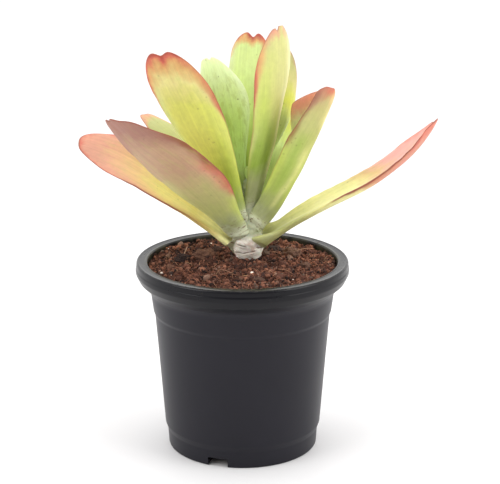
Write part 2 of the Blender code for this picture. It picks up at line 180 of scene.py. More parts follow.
# Colours of the leaves
WAX = srgb(194, 197, 168)
CREAM = srgb(242, 236, 165)
CHALK = srgb(252, 246, 196)
STRAW = srgb(226, 220, 148)
YELLOW = srgb(216, 200, 115)
LEMON = srgb(220, 226, 118)
LIME = srgb(198, 214, 92)
PALE_GREEN = srgb(205, 221, 148)
MINT = srgb(214, 236, 156)
FROST = srgb(232, 244, 206)
LEAF_GREEN = srgb(174, 187, 98)
DEEP_GREEN = srgb(148, 173, 70)
FOREST = srgb(122, 142, 62)
OLIVE = srgb(180, 181, 115)
SAGE = srgb(158, 164, 110)
KHAKI = srgb(200, 199, 130)
GREY_GREEN = srgb(188, 193, 146)
TAN = srgb(188, 178, 122)
PEACH = srgb(214, 179, 122)
ORANGE = srgb(211, 163, 108)
SALMON = srgb(207, 150, 125)
PINK = srgb(228, 168, 158)
BLUSH = srgb(250, 170, 150)
CORAL = srgb(200, 108, 90)
RED = srgb(172, 78, 68)
DARK_RED = srgb(142, 80, 62)
MAUVE = srgb(184, 149, 120)
ROSEWOOD = srgb(158, 113, 98)
BARK_RED = srgb(136, 84, 50)
BARK_BROWN = srgb(116, 88, 64)
SPECK_BROWN = srgb(96, 84, 44)

# What a leaf measures and looks like where its own entry says nothing else. A leaf starts at its azimuth
# and height, start away from the stem's axis, and climbs at the rise angle, changed by the arch in step
# with its length and by the sag as half a wave. The sweep swings it sideways. roll, cup and fold have a
# value at the base, at the middle and at the tip. widest is the place along it where it is widest, tip the
# share of it that is rounded off, taper how much narrower its end is and skew how much shorter one side is.
# A lobe is a place across the leaf, a width and a height as a share of the length, and a nick is the same
# for the sharp dent of the tip. The heel is the foot of the leaf: its distance from the stem's axis, how
# far it runs down the stem and how far it turns about it. A clasp bends the base further round the stem: by
# how much, how much it widens each half and how far up it reaches.
#
# body lists colours from base to tip. A blush is a colour, its strength, its place and reach across the
# leaf, and where along it the colour starts and is full, and then, where it doesn't last to the tip, where
# it starts to fade and is gone. under is a colour on the lower face only, its strength, and where it starts
# and is full. bloom is the strength of the pale cloud near the base and pale_foot how far the chalky foot
# reaches. patches, specks and rim_line are the strengths of green patches, dark dots and the dark margin,
# which starts and is full at rim_from.
# Some blushes below are painted highlights, painted light and painted shade, each marked where it stands.
NO_NICK = (0.0, 0.06, 0.0)
ALL_ACROSS = (0.0, 9.0)
LEAF_USUAL = dict(
    arch=0.0,
    sag=0.0,
    sweep=0.0,
    roll=(0.0, 0.0, 0.0),
    cup=(48.0, 18.0, 9.0),
    fold=(0.0, 0.0, 0.0),
    widest=0.65,
    tip=0.26,
    taper=0.0,
    skew=0.0,
    lobes=((0.0, 0.2, -0.03),),
    nick=(0.0, 0.06, 0.012),
    thickness=3.6,
    base_thickness=5.0,
    heel=(7.5, 7.0, 0.0),
    clasp=(0.0, 0.0, 0.1),
    rows=90,
    columns=45,
    body=((0.0, GREY_GREEN), (0.25, LEAF_GREEN), (0.55, LIME), (1.0, LEMON)),
    blushes=(),
    under=(WAX, 0.0, 0.4, 0.6),
    bloom=0.5,
    pale_foot=0.07,
    patches=0.15,
    specks=0.25,
    rim_line=0.5,
    rim_from=(0.15, 0.6),
    slot="leaf_green_gold",
)
YOUNG_LEAF = dict(
    start=1.0, rise=88.0, arch=2.0, width=4.4, base_width=2.2, cup=(30.0, 35.0, 20.0), tip=0.2, thickness=1.6,
    base_thickness=1.4, rows=40, columns=25, slot="leaf_pale_green",
    body=((0.0, PALE_GREEN), (1.0, PALE_GREEN)), nick=NO_NICK, heel=(1.2, 1.0, 0.0),
)

LEAVES = {
    "leaf_left_low": dict(
        azimuth=175.0, height=126.2, start=8.1, rise=40.4, arch=-31.0, sag=9.2, sweep=-13.9,
        length=118.2, width=38.0, base_width=14.5, roll=(18.0, 20.6, 26.0), cup=(44.0, 20.0, 8.0),
        widest=0.7, taper=0.2, skew=0.11, lobes=((0.0, 0.45, -0.02),), slot="leaf_rose",
        heel=(11.5, 2.0, 20.0), clasp=(10.0, 1.0, 0.1), pale_foot=0.08, nick=NO_NICK, rim_line=1.0,
        body=((0.0, STRAW), (0.12, CREAM), (0.28, YELLOW), (0.5, YELLOW), (0.64, PEACH), (0.86, SALMON),
              (0.96, SALMON), (1.0, CORAL)),
        blushes=(
            (ORANGE, 0.4, 1.0, 0.5, 0.15, 0.3, 0.6, 0.8),
            (CORAL, 0.6, -1.0, 0.3, 0.7, 0.95),
            (ROSEWOOD, 0.3, 0.3, 0.9, 0.8, 0.95),
        ),
    ),
    "leaf_right_long": dict(
        azimuth=357.0, height=127.5, start=8.0, rise=40.6, arch=21.8, sag=-23.7, sweep=11.7,
        length=132.3, width=34.1, base_width=15.0, roll=(-9.0, 1.7, 8.2), cup=(42.0, 28.3, 34.3),
        widest=0.445, tip=0.1, skew=0.12, slot="leaf_rose",
        heel=(10.2, 3.0, -16.0), clasp=(58.0, 6.0, 0.13), pale_foot=0.0, nick=NO_NICK,
        rim_line=1.0, rim_from=(0.36, 0.5), under=(CORAL, 0.6, 0.5, 0.65),
        body=((0.0, OLIVE), (0.15, KHAKI), (0.34, STRAW), (0.52, STRAW), (0.64, PEACH), (0.76, PINK),
              (1.0, PINK)),
        blushes=(
            (OLIVE, 0.8, -1.0, 0.9, -0.1, 0.0, 0.2, 0.4),
            (CREAM, 0.5, 0.9, 0.7, -0.1, 0.0, 0.25, 0.5),
            (SALMON, 0.85, -0.5, 0.7, 0.5, 0.66),
            (DARK_RED, 0.8, -1.0, 0.12, 0.44, 0.55),
            (CORAL, 0.6, *ALL_ACROSS, 0.9, 1.0),
        ),
    ),
    "leaf_back_low": dict(
        azimuth=94.5, height=128.0, start=8.0, rise=46.0, arch=4.0, sweep=3.0,
        length=80.0, width=29.0, base_width=10.0, cup=(45.0, 16.0, 8.0), tip=0.24,
        body=((0.0, GREY_GREEN), (0.25, OLIVE), (0.55, PALE_GREEN), (1.0, LEMON)),
        blushes=(
            (CORAL, 0.8, *ALL_ACROSS, 0.9, 1.02),
            (ORANGE, 0.6, 1.0, 0.3, 0.5, 0.8),
        ),
    ),
    "leaf_front_left": dict(
        azimuth=219.0, height=133.7, start=7.8, rise=55.5, arch=-12.0, sag=-8.0, sweep=-4.0,
        length=123.0, width=37.5, base_width=14.0, roll=(-35.0, -35.0, -15.0), cup=(45.0, 25.0, 8.0),
        widest=0.4, tip=0.29, taper=-0.03, skew=0.07, slot="leaf_rose",
        lobes=((0.05, 0.4, -0.04), (-0.38, 0.08, -0.015)), nick=(-0.38, 0.05, 0.006),
        heel=(11.5, 4.0, 8.0), clasp=(15.0, 1.6, 0.16), pale_foot=0.12,
        rim_line=1.0, rim_from=(0.15, 0.35), bloom=0.8,
        body=((0.0, GREY_GREEN), (0.1, SAGE), (0.2, OLIVE), (0.36, TAN), (0.56, MAUVE), (0.74, MAUVE),
              (0.9, ROSEWOOD), (1.0, ROSEWOOD)),
        blushes=(
            (KHAKI, 0.7, -1.0, 0.8, -0.1, 0.0, 0.45, 0.65),
            (SALMON, 0.7, 0.78, 0.35, 0.3, 0.38, 0.5, 0.7),
            (BARK_RED, 0.95, 1.0, 0.28, 0.26, 0.4),
            (LIME, 0.5, 0.9, 0.5, 0.02, 0.12, 0.2, 0.34),
            (CORAL, 0.6, 0.9, 0.3, 0.28, 0.36, 0.5, 0.7),
        ),
    ),
    "leaf_back_right": dict(
        azimuth=55.0, height=134.0, start=7.0, rise=54.0, arch=8.0, sweep=-4.0,
        length=84.0, width=28.0, base_width=11.5, cup=(45.0, 18.0, 10.0),
        body=((0.0, SAGE), (0.25, OLIVE), (0.5, LEAF_GREEN), (0.7, PALE_GREEN), (0.85, LEMON), (1.0, ORANGE)),
        blushes=(
            # Painted shade: dark green over the lower half of the blade, except near the margin at side -1.
            (FOREST, 0.9, 0.7, 1.3, 0.2, 0.3, 0.55, 0.7),
            (CORAL, 0.8, *ALL_ACROSS, 0.92, 1.02),
        ),
    ),
    "leaf_back_left": dict(
        azimuth=137.0, height=137.5, start=6.6, rise=41.0, arch=-7.0, sag=2.0, sweep=14.0,
        length=98.5, width=28.0, base_width=10.0, roll=(0.0, 14.0, -10.0), tip=0.24, widest=0.62,
        lobes=((0.0, 0.5, -0.03),), nick=NO_NICK, slot="leaf_pale_green",
        body=((0.0, GREY_GREEN), (0.5, GREY_GREEN), (0.7, OLIVE), (0.92, OLIVE), (1.0, ORANGE)),
        blushes=((SALMON, 0.8, *ALL_ACROSS, 0.92, 1.0),),
    ),
    "leaf_right_folded": dict(
        azimuth=334.0, height=141.0, start=6.4, rise=44.6, arch=23.3, sag=7.4, sweep=38.3,
        length=97.5, width=42.1, base_width=18.0, roll=(41.3, 9.9, -23.8), cup=(39.0, 26.0, 10.0),
        fold=(14.0, 31.9, 67.8), heel=(10.6, 4.0, -30.0), widest=0.7, tip=0.05, skew=0.15,
        lobes=((0.0, 0.28, -0.055),),
        body=((0.0, GREY_GREEN), (0.12, SAGE), (0.3, LEAF_GREEN), (0.5, LEAF_GREEN), (0.75, OLIVE),
              (0.9, TAN), (1.0, CORAL)),
        blushes=(
            # Painted light: the far half lightened to chalky white, in place of light shining through it.
            (CHALK, 1.0, 0.8, 1.0, 0.3, 0.45),
            (CREAM, 0.8, 0.0, 0.5, 0.72, 0.84),
            # Partly the tip's own coral, lightened to pale pink as painted light.
            (BLUSH, 1.0, 0.8, 1.2, 0.8, 0.94),
            (BARK_RED, 0.85, -1.0, 0.2, 0.55, 0.7),
            (ROSEWOOD, 0.6, -1.0, 0.6, 0.8, 0.92),
            (LIME, 0.5, -1.0, 0.35, 0.2, 0.3, 0.5, 0.7),
            (DEEP_GREEN, 0.6, -0.6, 0.3, 0.2, 0.35, 0.6, 0.75),
            (CREAM, 0.4, -0.22, 0.2, 0.1, 0.25, 0.55, 0.7),
        ),
    ),
    "leaf_left_high": dict(
        azimuth=207.0, height=143.0, start=6.4, rise=70.6, arch=-6.0, sag=-4.0, sweep=-1.0,
        length=118.6, width=38.8, base_width=14.0, roll=(-31.0, -34.0, -42.0), tip=0.223, taper=0.04,
        heel=(9.5, 7.0, 25.0), nick=(-0.05, 0.06, 0.003),
        skew=0.07, lobes=((-0.05, 0.2, -0.028),), widest=0.656,
        body=((0.0, GREY_GREEN), (0.12, LEAF_GREEN), (0.26, LIME), (0.45, LEMON), (0.7, LEMON),
              (0.84, STRAW), (0.94, ORANGE), (0.98, CORAL), (1.0, RED)),
        blushes=(
            (LIME, 0.6, 0.7, 0.45, 0.2, 0.3, 0.45, 0.65),
            (PALE_GREEN, 0.9, -1.0, 0.5, 0.38, 0.5, 0.75, 0.95),
            (CORAL, 0.95, 1.0, 0.24, 0.7, 0.8),
            (ORANGE, 0.5, 0.8, 0.35, 0.8, 0.92),
            # Painted shade: deep green low on the blade, on the side towards +1.
            (DEEP_GREEN, 0.55, 0.5, 0.5, 0.0, 0.1, 0.3, 0.5),
            (CORAL, 0.7, -1.0, 0.14, 0.6, 0.85),
        ),
    ),
    "leaf_back_tall": dict(
        azimuth=89.5, height=152.0, start=4.2, rise=74.0, arch=2.0, sag=-2.0, sweep=-7.0,
        length=104.0, width=28.0, base_width=11.0, roll=(0.0, 4.0, 20.0), cup=(50.0, 15.0, 9.0),
        widest=0.62, tip=0.14, taper=0.12, lobes=((-0.1, 0.2, -0.03),), base_thickness=4.4,
        heel=(6.0, 7.0, 0.0), nick=(-0.1, 0.06, 0.004), rim_line=0.2, slot="leaf_pale_green",
        body=((0.0, DEEP_GREEN), (0.3, LEAF_GREEN), (0.6, PALE_GREEN), (0.93, PALE_GREEN), (0.97, ORANGE),
              (1.0, RED)),
        blushes=(
            (CORAL, 0.85, -0.85, 0.4, 0.89, 0.96),
            (WAX, 0.4, 1.0, 0.4, 0.6, 0.8),
        ),
    ),
    "leaf_front_tall": dict(
        azimuth=305.0, height=153.5, start=3.2, rise=68.5, arch=27.8, sag=-6.0, sweep=12.0,
        length=113.0, width=33.0, base_width=10.0, roll=(20.0, -14.0, 0.3), cup=(53.0, 22.0, 16.0),
        widest=0.73, tip=0.275, taper=0.2, skew=-0.08, lobes=((0.1, 0.1, -0.025), (0.32, 0.12, 0.04)),
        base_thickness=4.0, heel=(5.5, 8.0, 0.0), nick=(-0.1, 0.05, 0.006), pale_foot=0.03,
        body=((0.0, SAGE), (0.16, SAGE), (0.28, DEEP_GREEN), (0.42, LEAF_GREEN), (0.62, KHAKI),
              (0.92, KHAKI), (1.0, SALMON)),
        blushes=(
            # Painted highlight: a chalky band along the side near +0.85, lighter where the cup puts it in
            # shade.
            (CHALK, 1.0, 0.85, 0.7, 0.1, 0.22, 0.55, 0.72),
            # Painted shade: deep green in the hollow of the cup, towards the side at -1.
            (DEEP_GREEN, 0.7, -0.65, 0.75, 0.22, 0.34, 0.52, 0.68),
            (LEAF_GREEN, 0.7, -0.7, 0.5, 0.4, 0.5, 0.65, 0.8),
            (LIME, 0.4, -0.7, 0.9, 0.5, 0.65, 0.8, 0.94),
            (ORANGE, 0.85, -0.85, 0.35, 0.8, 0.9),
            (CORAL, 0.95, -1.0, 0.16, 0.72, 0.84),
            (CREAM, 0.3, -1.0, 0.3, 0.15, 0.3, 0.5, 0.65),
            # Painted shade: dark green down the middle of the lower blade.
            (FOREST, 0.6, -0.1, 0.35, 0.22, 0.32, 0.42, 0.56),
            (CHALK, 0.5, 0.9, 0.5, 0.6, 0.75),
        ),
    ),
    "leaf_left_inner": dict(
        azimuth=165.8, height=161.4, start=3.4, rise=70.9, arch=7.5, sag=2.0, sweep=3.8,
        length=82.5, width=36.4, base_width=9.0, roll=(32.0, 54.0, 22.0), cup=(50.0, 36.0, 21.0),
        widest=0.67, tip=0.325, taper=0.1, skew=-0.11, lobes=((0.3, 0.12, 0.02), (0.1, 0.1, -0.02)),
        base_thickness=4.0, heel=(4.0, 6.0, 0.0), slot="leaf_pale_green",
        specks=0.8, rim_line=0.1, patches=0.35,
        body=((0.0, LEAF_GREEN), (0.2, MINT), (1.0, MINT)),
        blushes=(
            (DEEP_GREEN, 0.7, 0.3, 0.7, 0.0, 0.1, 0.5, 0.75),
            # Partly the leaf's pale tone, partly painted light: frosty coats that lighten the shaded hollow
            # of the cup.
            (FROST, 0.8, -1.0, 0.4, 0.2, 0.5),
            (FROST, 0.8, 1.0, 0.4, 0.2, 0.5),
            (FROST, 0.5, *ALL_ACROSS, 0.5, 0.85),
        ),
    ),
    "leaf_right_inner": dict(
        azimuth=355.0, height=162.5, start=3.3, rise=73.0, arch=23.0, sag=-7.0, sweep=-12.0,
        length=88.5, width=30.0, base_width=8.5, roll=(30.0, 46.0, 30.0), cup=(50.0, 18.0, 14.0),
        base_thickness=4.0, heel=(4.0, 6.0, 0.0), slot="leaf_pale_green",
        body=((0.0, LEAF_GREEN), (0.3, MINT), (0.5, PALE_GREEN), (0.65, LIME), (0.8, KHAKI), (0.92, OLIVE),
              (1.0, ROSEWOOD)),
        blushes=(
            (CORAL, 0.8, 1.0, 0.16, 0.75, 0.95),
            (CORAL, 0.8, -1.0, 0.16, 0.75, 0.95),
        ),
    ),
    "leaf_young_back": dict(YOUNG_LEAF, azimuth=80.0, height=167.0, length=9.0),
    "leaf_young_front": dict(YOUNG_LEAF, azimuth=250.0, height=167.1, length=8.0),
}


class Value:
    """What a node gives. Sums and products of it are nodes too."""

    def __init__(self, nodes, socket):
        self.nodes = nodes
        self.socket = socket

    def __add__(self, other):
        return self.nodes.math("ADD", self, other)

    def __sub__(self, number):
        return self + -number

    def __mul__(self, other):
        return self.nodes.math("MULTIPLY", self, other)


class Nodes:
    """Short calls for the nodes of a material or of the world."""

    def __init__(self, tree):
        self.tree = tree

    def feed(self, node, inputs):
        """Feed a node's inputs, by name or number, with constants or with what other nodes give."""
        for socket, value in inputs.items():
            if isinstance(value, Value):
                self.tree.links.new(value.socket, node.inputs[socket])
            else:
                node.inputs[socket].default_value = value

    def make(self, kind, inputs=None, output=0, **settings):
        """Add a node, set it up, feed it, and give one of its outputs."""
        node = self.tree.nodes.new("ShaderNode" + kind)
        for setting, value in settings.items():
            setattr(node, setting, value)
        self.feed(node, inputs or {})
        return Value(self, node.outputs[output])

    def math(self, how, first, second=0.0):
        return self.make("Math", {0: first, 1: second}, operation=how)

    def step(self, value, low, high, start=0.0, end=1.0):
        """A smooth step from the start at low to the end at high, which may be the smaller."""
        inputs = {"Value": value, "From Min": low, "From Max": high, "To Min": start, "To Max": end}
        return self.make("MapRange", inputs, interpolation_type="SMOOTHSTEP")

    def join(self, x, y, z):
        return self.make("CombineXYZ", {0: x, 1: y, 2: z})

    def split(self, vector):
        """The three parts of a vector."""
        outputs = self.make("SeparateXYZ", {0: vector}).socket.node.outputs
        return [Value(self, socket) for socket in outputs]

    def ramp(self, share, stops):
        """A colour ramp through (place, colour) stops."""
        output = self.make("ValToRGB", {0: share})
        elements = output.socket.node.color_ramp.elements
        elements[0].position, elements[0].color = stops[0]
        elements[1].position, elements[1].color = stops[-1]
        for place, colour in stops[1:-1]:
            elements.new(place).color = colour
        return output

    def blend(self, share, first, second):
        """Mix two colours."""
        return self.make("Mix", {0: share, 6: first, 7: second}, output=2, data_type="RGBA")


class Finish(Nodes):
    """A Principled material. Its colour is built up in coats."""

    def __init__(self, name, **constants):
        self.material = bpy.data.materials.new(name)
        self.material.use_nodes = True
        super().__init__(self.material.node_tree)
        self.shader = self.tree.nodes["Principled BSDF"]
        self.feed(self.shader, {socket.replace("_", " "): value for socket, value in constants.items()})
        self.here = self.make("TexCoord", output=3)
        self.colour = None

    def noise(self, scale, detail=3.0, roughness=0.5, where=None):
        """Noise over the object's own coordinates, or over other ones."""
        inputs = {"Vector": where or self.here, "Scale": scale, "Detail": detail, "Roughness": roughness}
        return self.make("TexNoise", inputs)

    def coat(self, tint, share):
        """Put a share of a tint over the colour so far."""
        self.colour = self.blend(share, self.colour, tint)

    def brighten(self, value, saturation):
        """Change the value and saturation of the colour so far."""
        inputs = {"Color": self.colour, "Value": value, "Saturation": saturation}
        self.colour = self.make("HueSaturation", inputs)

    def rough(self, value):
        self.feed(self.shader, {"Roughness": value})

    def bump(self, height, distance, strength):
        """Raise the surface by a height from 0 to 1, of that distance in millimetres."""
        inputs = {"Height": height, "Distance": distance * MM, "Strength": strength}
        self.feed(self.shader, {"Normal": self.make("Bump", inputs)})

    def done(self):
        """The material, with its colour as it is now."""
        self.feed(self.shader, {"Base Color": self.colour})
        return self.material


def ease(share):
    """A smooth step from 0 to 1."""
    share = np.clip(share, 0.0, 1.0)
    return share * share * (3.0 - 2.0 * share)


def unit(vectors):
    """The vectors at length 1."""
    return vectors / np.linalg.norm(vectors, axis=-1, keepdims=True)


def rumple(points, size, seed, waves=14):
    """Smooth random heights between about -1 and 1: the sum of plane waves of about that size, each in a
    random direction and phase, over the root of their number.
    """
    random = np.random.default_rng(seed)
    directions = unit(random.normal(size=(waves, 3)))
    lengths = size * random.uniform(0.7, 1.4, size=(waves, 1))
    phases = random.uniform(0.0, 2.0 * np.pi, size=waves)
    return np.sin(points @ (directions * 2.0 * np.pi / lengths).T + phases).sum(axis=-1) / np.sqrt(waves)


def place_object(name, data):
    """Link an object with that mesh, light or camera to the scene."""
    placed = bpy.data.objects.new(name, data)
    bpy.context.scene.collection.objects.link(placed)
    return placed


def mesh_piece(name, points, faces, material, node=None, sharp=180.0):
    """A piece on the plant's body, in place of that node. Its points are in millimetres, and
    its faces are a list of arrays, one for each number of corners.
    """
    mesh = bpy.data.meshes.new(name)
    mesh.from_pydata((points * MM).tolist(), [], sum((group.tolist() for group in faces), []))
    mesh.materials.append(material)
    mesh.shade_smooth()
    if sharp < 180.0:
        mesh.set_sharp_from_angle(angle=math.radians(sharp))
    piece = place_object(name, mesh)
    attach(piece, "root")
    if node is not None:
        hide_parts(node)
    return piece


def store(piece, name, values, kind="FLOAT", field="value"):
    """Store a value for each point under a name that the piece's material reads."""
    attribute = piece.data.attributes.new(name, kind, "POINT")
    attribute.data.foreach_set(field, np.asarray(values, dtype=np.float32).ravel())


def grid_faces(rows, columns):
    """Quads of a grid of points, row after row, whose last column joins its first."""
    row, column = np.meshgrid(np.arange(rows - 1), np.arange(columns), indexing="ij")
    low = row * columns + column
    low_next = row * columns + (column + 1) % columns
    return np.stack([low, low_next, low_next + columns, low + columns], axis=-1).reshape(-1, 4)


def turned(profile, steps):
    """Points and quads of a profile of (radius, height) round the Z axis. It starts and ends on the axis."""
    profile = np.asarray(profile)
    angle = np.arange(steps) * 2.0 * np.pi / steps
    x = profile[:, :1] * np.cos(angle)
    y = profile[:, :1] * np.sin(angle)
    z = np.repeat(profile[:, 1:], steps, axis=1)
    return np.stack([x, y, z], axis=-1).reshape(-1, 3), grid_faces(len(profile), steps)


def rounded(profile, reach=0.7):
    """Round a profile's corners: each becomes a quadratic arc that starts and ends up to reach from it."""
    profile = np.asarray(profile, dtype=float)
    corner = profile[1:-1]

    def towards(other):
        """A point near the corner on the way to the other one."""
        way = other - corner
        return corner + way * np.minimum(0.45, reach / np.linalg.norm(way, axis=1, keepdims=True))

    start, middle, end = towards(profile[:-2])[:, None], corner[:, None], towards(profile[2:])[:, None]
    share = np.linspace(0.0, 1.0, 5)[None, :, None]
    arcs = (1.0 - share) ** 2 * start + 2.0 * share * (1.0 - share) * middle + share**2 * end
    return np.vstack([profile[:1], arcs.reshape(-1, 2), profile[-1:]])


def close_poles(piece):
    """Merge the points that meet on the axis and point the faces outwards."""
    mesh = bmesh.new()
    mesh.from_mesh(piece.data)
    bmesh.ops.remove_doubles(mesh, verts=mesh.verts, dist=0.001 * MM)
    bmesh.ops.recalc_face_normals(mesh, faces=mesh.faces)
    mesh.to_mesh(piece.data)
    mesh.free()


def along_leaf(values, share):
    """A smooth curve through a value at the base, one at the middle and one at the tip."""
    base, middle, tip = values
    first = base + (middle - base) * ease(share / 0.5)
    second = middle + (tip - middle) * ease((share - 0.5) / 0.5)
    return np.where(share < 0.5, first, second)


def heel_share(leaf):
    """The share of the leaf's length below its base, and the share at which the blade leaves the stem."""
    radius, drop, _turn = leaf.heel
    leaves_at = (radius - leaf.start) / math.cos(math.radians(leaf.rise))
    return drop / leaf.length, max(leaves_at, 0.5) / leaf.length


def leaf_midrib(leaf, share):
    """Points of the midrib, and the directions across and out of the upper face there.

    The midrib climbs at the rise angle, plus the arch in step with the share of the length, plus the sag as
    half a wave. It swings sideways by the sweep in step with the share. roll turns the faces about it. Below
    the place where the blade leaves the stem, the midrib is a quadratic arc that runs down the stem's side.
    """
    count = 240

    def direction(at):
        climb = np.radians(leaf.rise + leaf.arch * at + leaf.sag * np.sin(np.pi * at))
        swing = np.radians(leaf.azimuth + leaf.sweep * at)
        flat = np.cos(climb)
        return np.stack([flat * np.cos(swing), flat * np.sin(swing), np.sin(climb)], axis=-1)

    steps = direction((np.arange(count) + 0.5) / count) * leaf.length / count
    azimuth = math.radians(leaf.azimuth)
    base = STEM + (leaf.start * math.cos(azimuth), leaf.start * math.sin(azimuth), leaf.height)
    line = base + np.vstack([np.zeros(3), np.cumsum(steps, axis=0)])
    marks = np.linspace(0.0, 1.0, count + 1)

    def on_blade(at):
        return np.stack([np.interp(at, marks, line[:, axis]) for axis in range(3)], axis=-1)

    below, leaves_at = heel_share(leaf)
    _radius, drop, turn = leaf.heel
    upper = on_blade(leaves_at)
    corner = upper - HEEL_BEND * direction(leaves_at)
    cosine, sine = math.cos(math.radians(turn)), math.sin(math.radians(turn))
    off_x, off_y, height = corner - STEM
    foot = STEM + (off_x * cosine - off_y * sine, off_x * sine + off_y * cosine, height - drop)
    part = np.clip((share + below) / (leaves_at + below), 0.0, 1.0)[:, None]
    heel = (1.0 - part) ** 2 * foot + 2.0 * part * (1.0 - part) * corner + part**2 * upper
    heel_forward = (1.0 - part) * (corner - foot) + part * (upper - corner)

    on_heel = share < leaves_at
    midrib = np.where(on_heel[:, None], heel, on_blade(share))
    forward = unit(np.where(on_heel[:, None], heel_forward, direction(share)))
    off = midrib - STEM
    swing = np.radians(leaf.azimuth + leaf.sweep * share)
    swing = np.where(on_heel, np.arctan2(off[:, 1], off[:, 0]), swing)
    across = np.stack([-np.sin(swing), np.cos(swing), np.zeros_like(swing)], axis=-1)
    across = unit(across - forward * (across * forward).sum(axis=1, keepdims=True))
    out = np.cross(forward, across)
    roll = along_leaf(leaf.roll, share) * np.where(on_heel, ease(part[:, 0]), 1.0)
    roll = np.radians(roll)[:, None]
    return midrib, across * np.cos(roll) - out * np.sin(roll), out * np.cos(roll) + across * np.sin(roll)


def leaf_points(leaf, along, side, face, seed):
    """Points of a leaf's skin, for flat arrays along (0 to 1), side (-1 to 1) and face (1 or -1).

    The tip's outline is a rounded end with lobes and a sharp nick, which shortens each line from base to tip.
    The section is a strip bent from the midrib to the margin: it turns by the fold close to the midrib and by
    the cup evenly, so its points are the sums of the cosines and sines of that angle. The skin lies half the
    thickness off the strip, down to nothing at the margins and the tip, with long low ribs, a soft
    unevenness, a crease below the nick and a slight crinkle at the margins.
    """
    spread = np.abs(side)
    round_end = 1.0 - np.sqrt(np.clip(1.0 - spread**2.2, 0.0, 1.0))
    reach = 1.0 - leaf.tip * round_end - leaf.skew * 0.5 * (side + side**2)
    for place, width, height in leaf.lobes:
        reach = reach + height * np.exp(-(((side - place) / width) ** 2))
    place, width, depth = leaf.nick
    reach = reach - depth * np.exp(-np.abs(side - place) / width)
    share = np.where(along > 0.0, along * reach, along)
    midrib, across, out = leaf_midrib(leaf, share)

    turn, wider, clasp_reach = leaf.clasp
    clasp = 1.0 - ease(share / clasp_reach)
    narrow = leaf.base_width / leaf.width
    half_width = 0.5 * leaf.width * (narrow + (1.0 - narrow) * ease(share / leaf.widest))
    half_width = half_width * (1.0 - leaf.taper * ease((share - leaf.widest) / (1.0 - leaf.widest)))
    half_width = half_width + wider * clasp
    from_foot = np.clip((share + heel_share(leaf)[0]) * leaf.length / 4.0, 0.0, 1.0)
    half_width = half_width * (0.4 + 0.6 * np.sqrt(1.0 - (1.0 - from_foot) ** 2))
    fold = np.radians(along_leaf(leaf.fold, share))
    cup = np.radians(along_leaf(leaf.cup, share) + turn * clasp)

    def bend(at):
        """How far the strip has turned there, from 0 at the midrib to 1 at the margin."""
        return fold * np.tanh(at / FOLD_REACH) + cup * at

    pieces = 8
    bends = [bend(spread * (piece + 0.5) / pieces) for piece in range(pieces)]
    run = sum(np.cos(angle) for angle in bends) / pieces * side * half_width
    lift = sum(np.sin(angle) for angle in bends) / pieces * spread * half_width
    strip = midrib + across * run[:, None] + out * lift[:, None]
    angle = bend(spread)
    skin = out * np.cos(angle)[:, None] - across * (np.sin(angle) * np.sign(side))[:, None]

    thickness = leaf.thickness + (leaf.base_thickness - leaf.thickness) * (1.0 - ease(share / 0.3))
    thickness = thickness * (1.0 - 0.35 * ease((share - 0.5) / 0.5))
    thickness = thickness * (0.25 + 0.75 * ease(1.0 + share * leaf.length / leaf.heel[1]))
    thin = np.sqrt(np.clip(1.0 - side**4, 0.0, 1.0)) * np.sqrt(np.clip(1.0 - along**10, 0.0, 1.0))
    scale = leaf.width / 36.0
    flat = np.stack([side * 18.0, share * leaf.length, face * 30.0], axis=-1)
    ribs = 0.10 * scale * rumple(flat * (1.0, 0.08, 1.0), 7.0, seed) * thin
    crease = -0.5 * scale * np.exp(-(((side - place) / 0.05) ** 2)) * ease((along - 0.82) / 0.18) * thin
    uneven = 0.22 * scale * rumple(flat * (1.0, 1.0, 0.0), 26.0, seed + 1) * ease(share / 0.3)
    crinkle = 0.16 * scale * rumple(flat * (0.2, 1.0, 0.0), 9.0, seed + 2) * spread**8 * ease(share / 0.4)
    offset = face * (0.5 * thickness * thin + ribs + crease) + uneven + crinkle
    return strip + skin * offset[:, None]


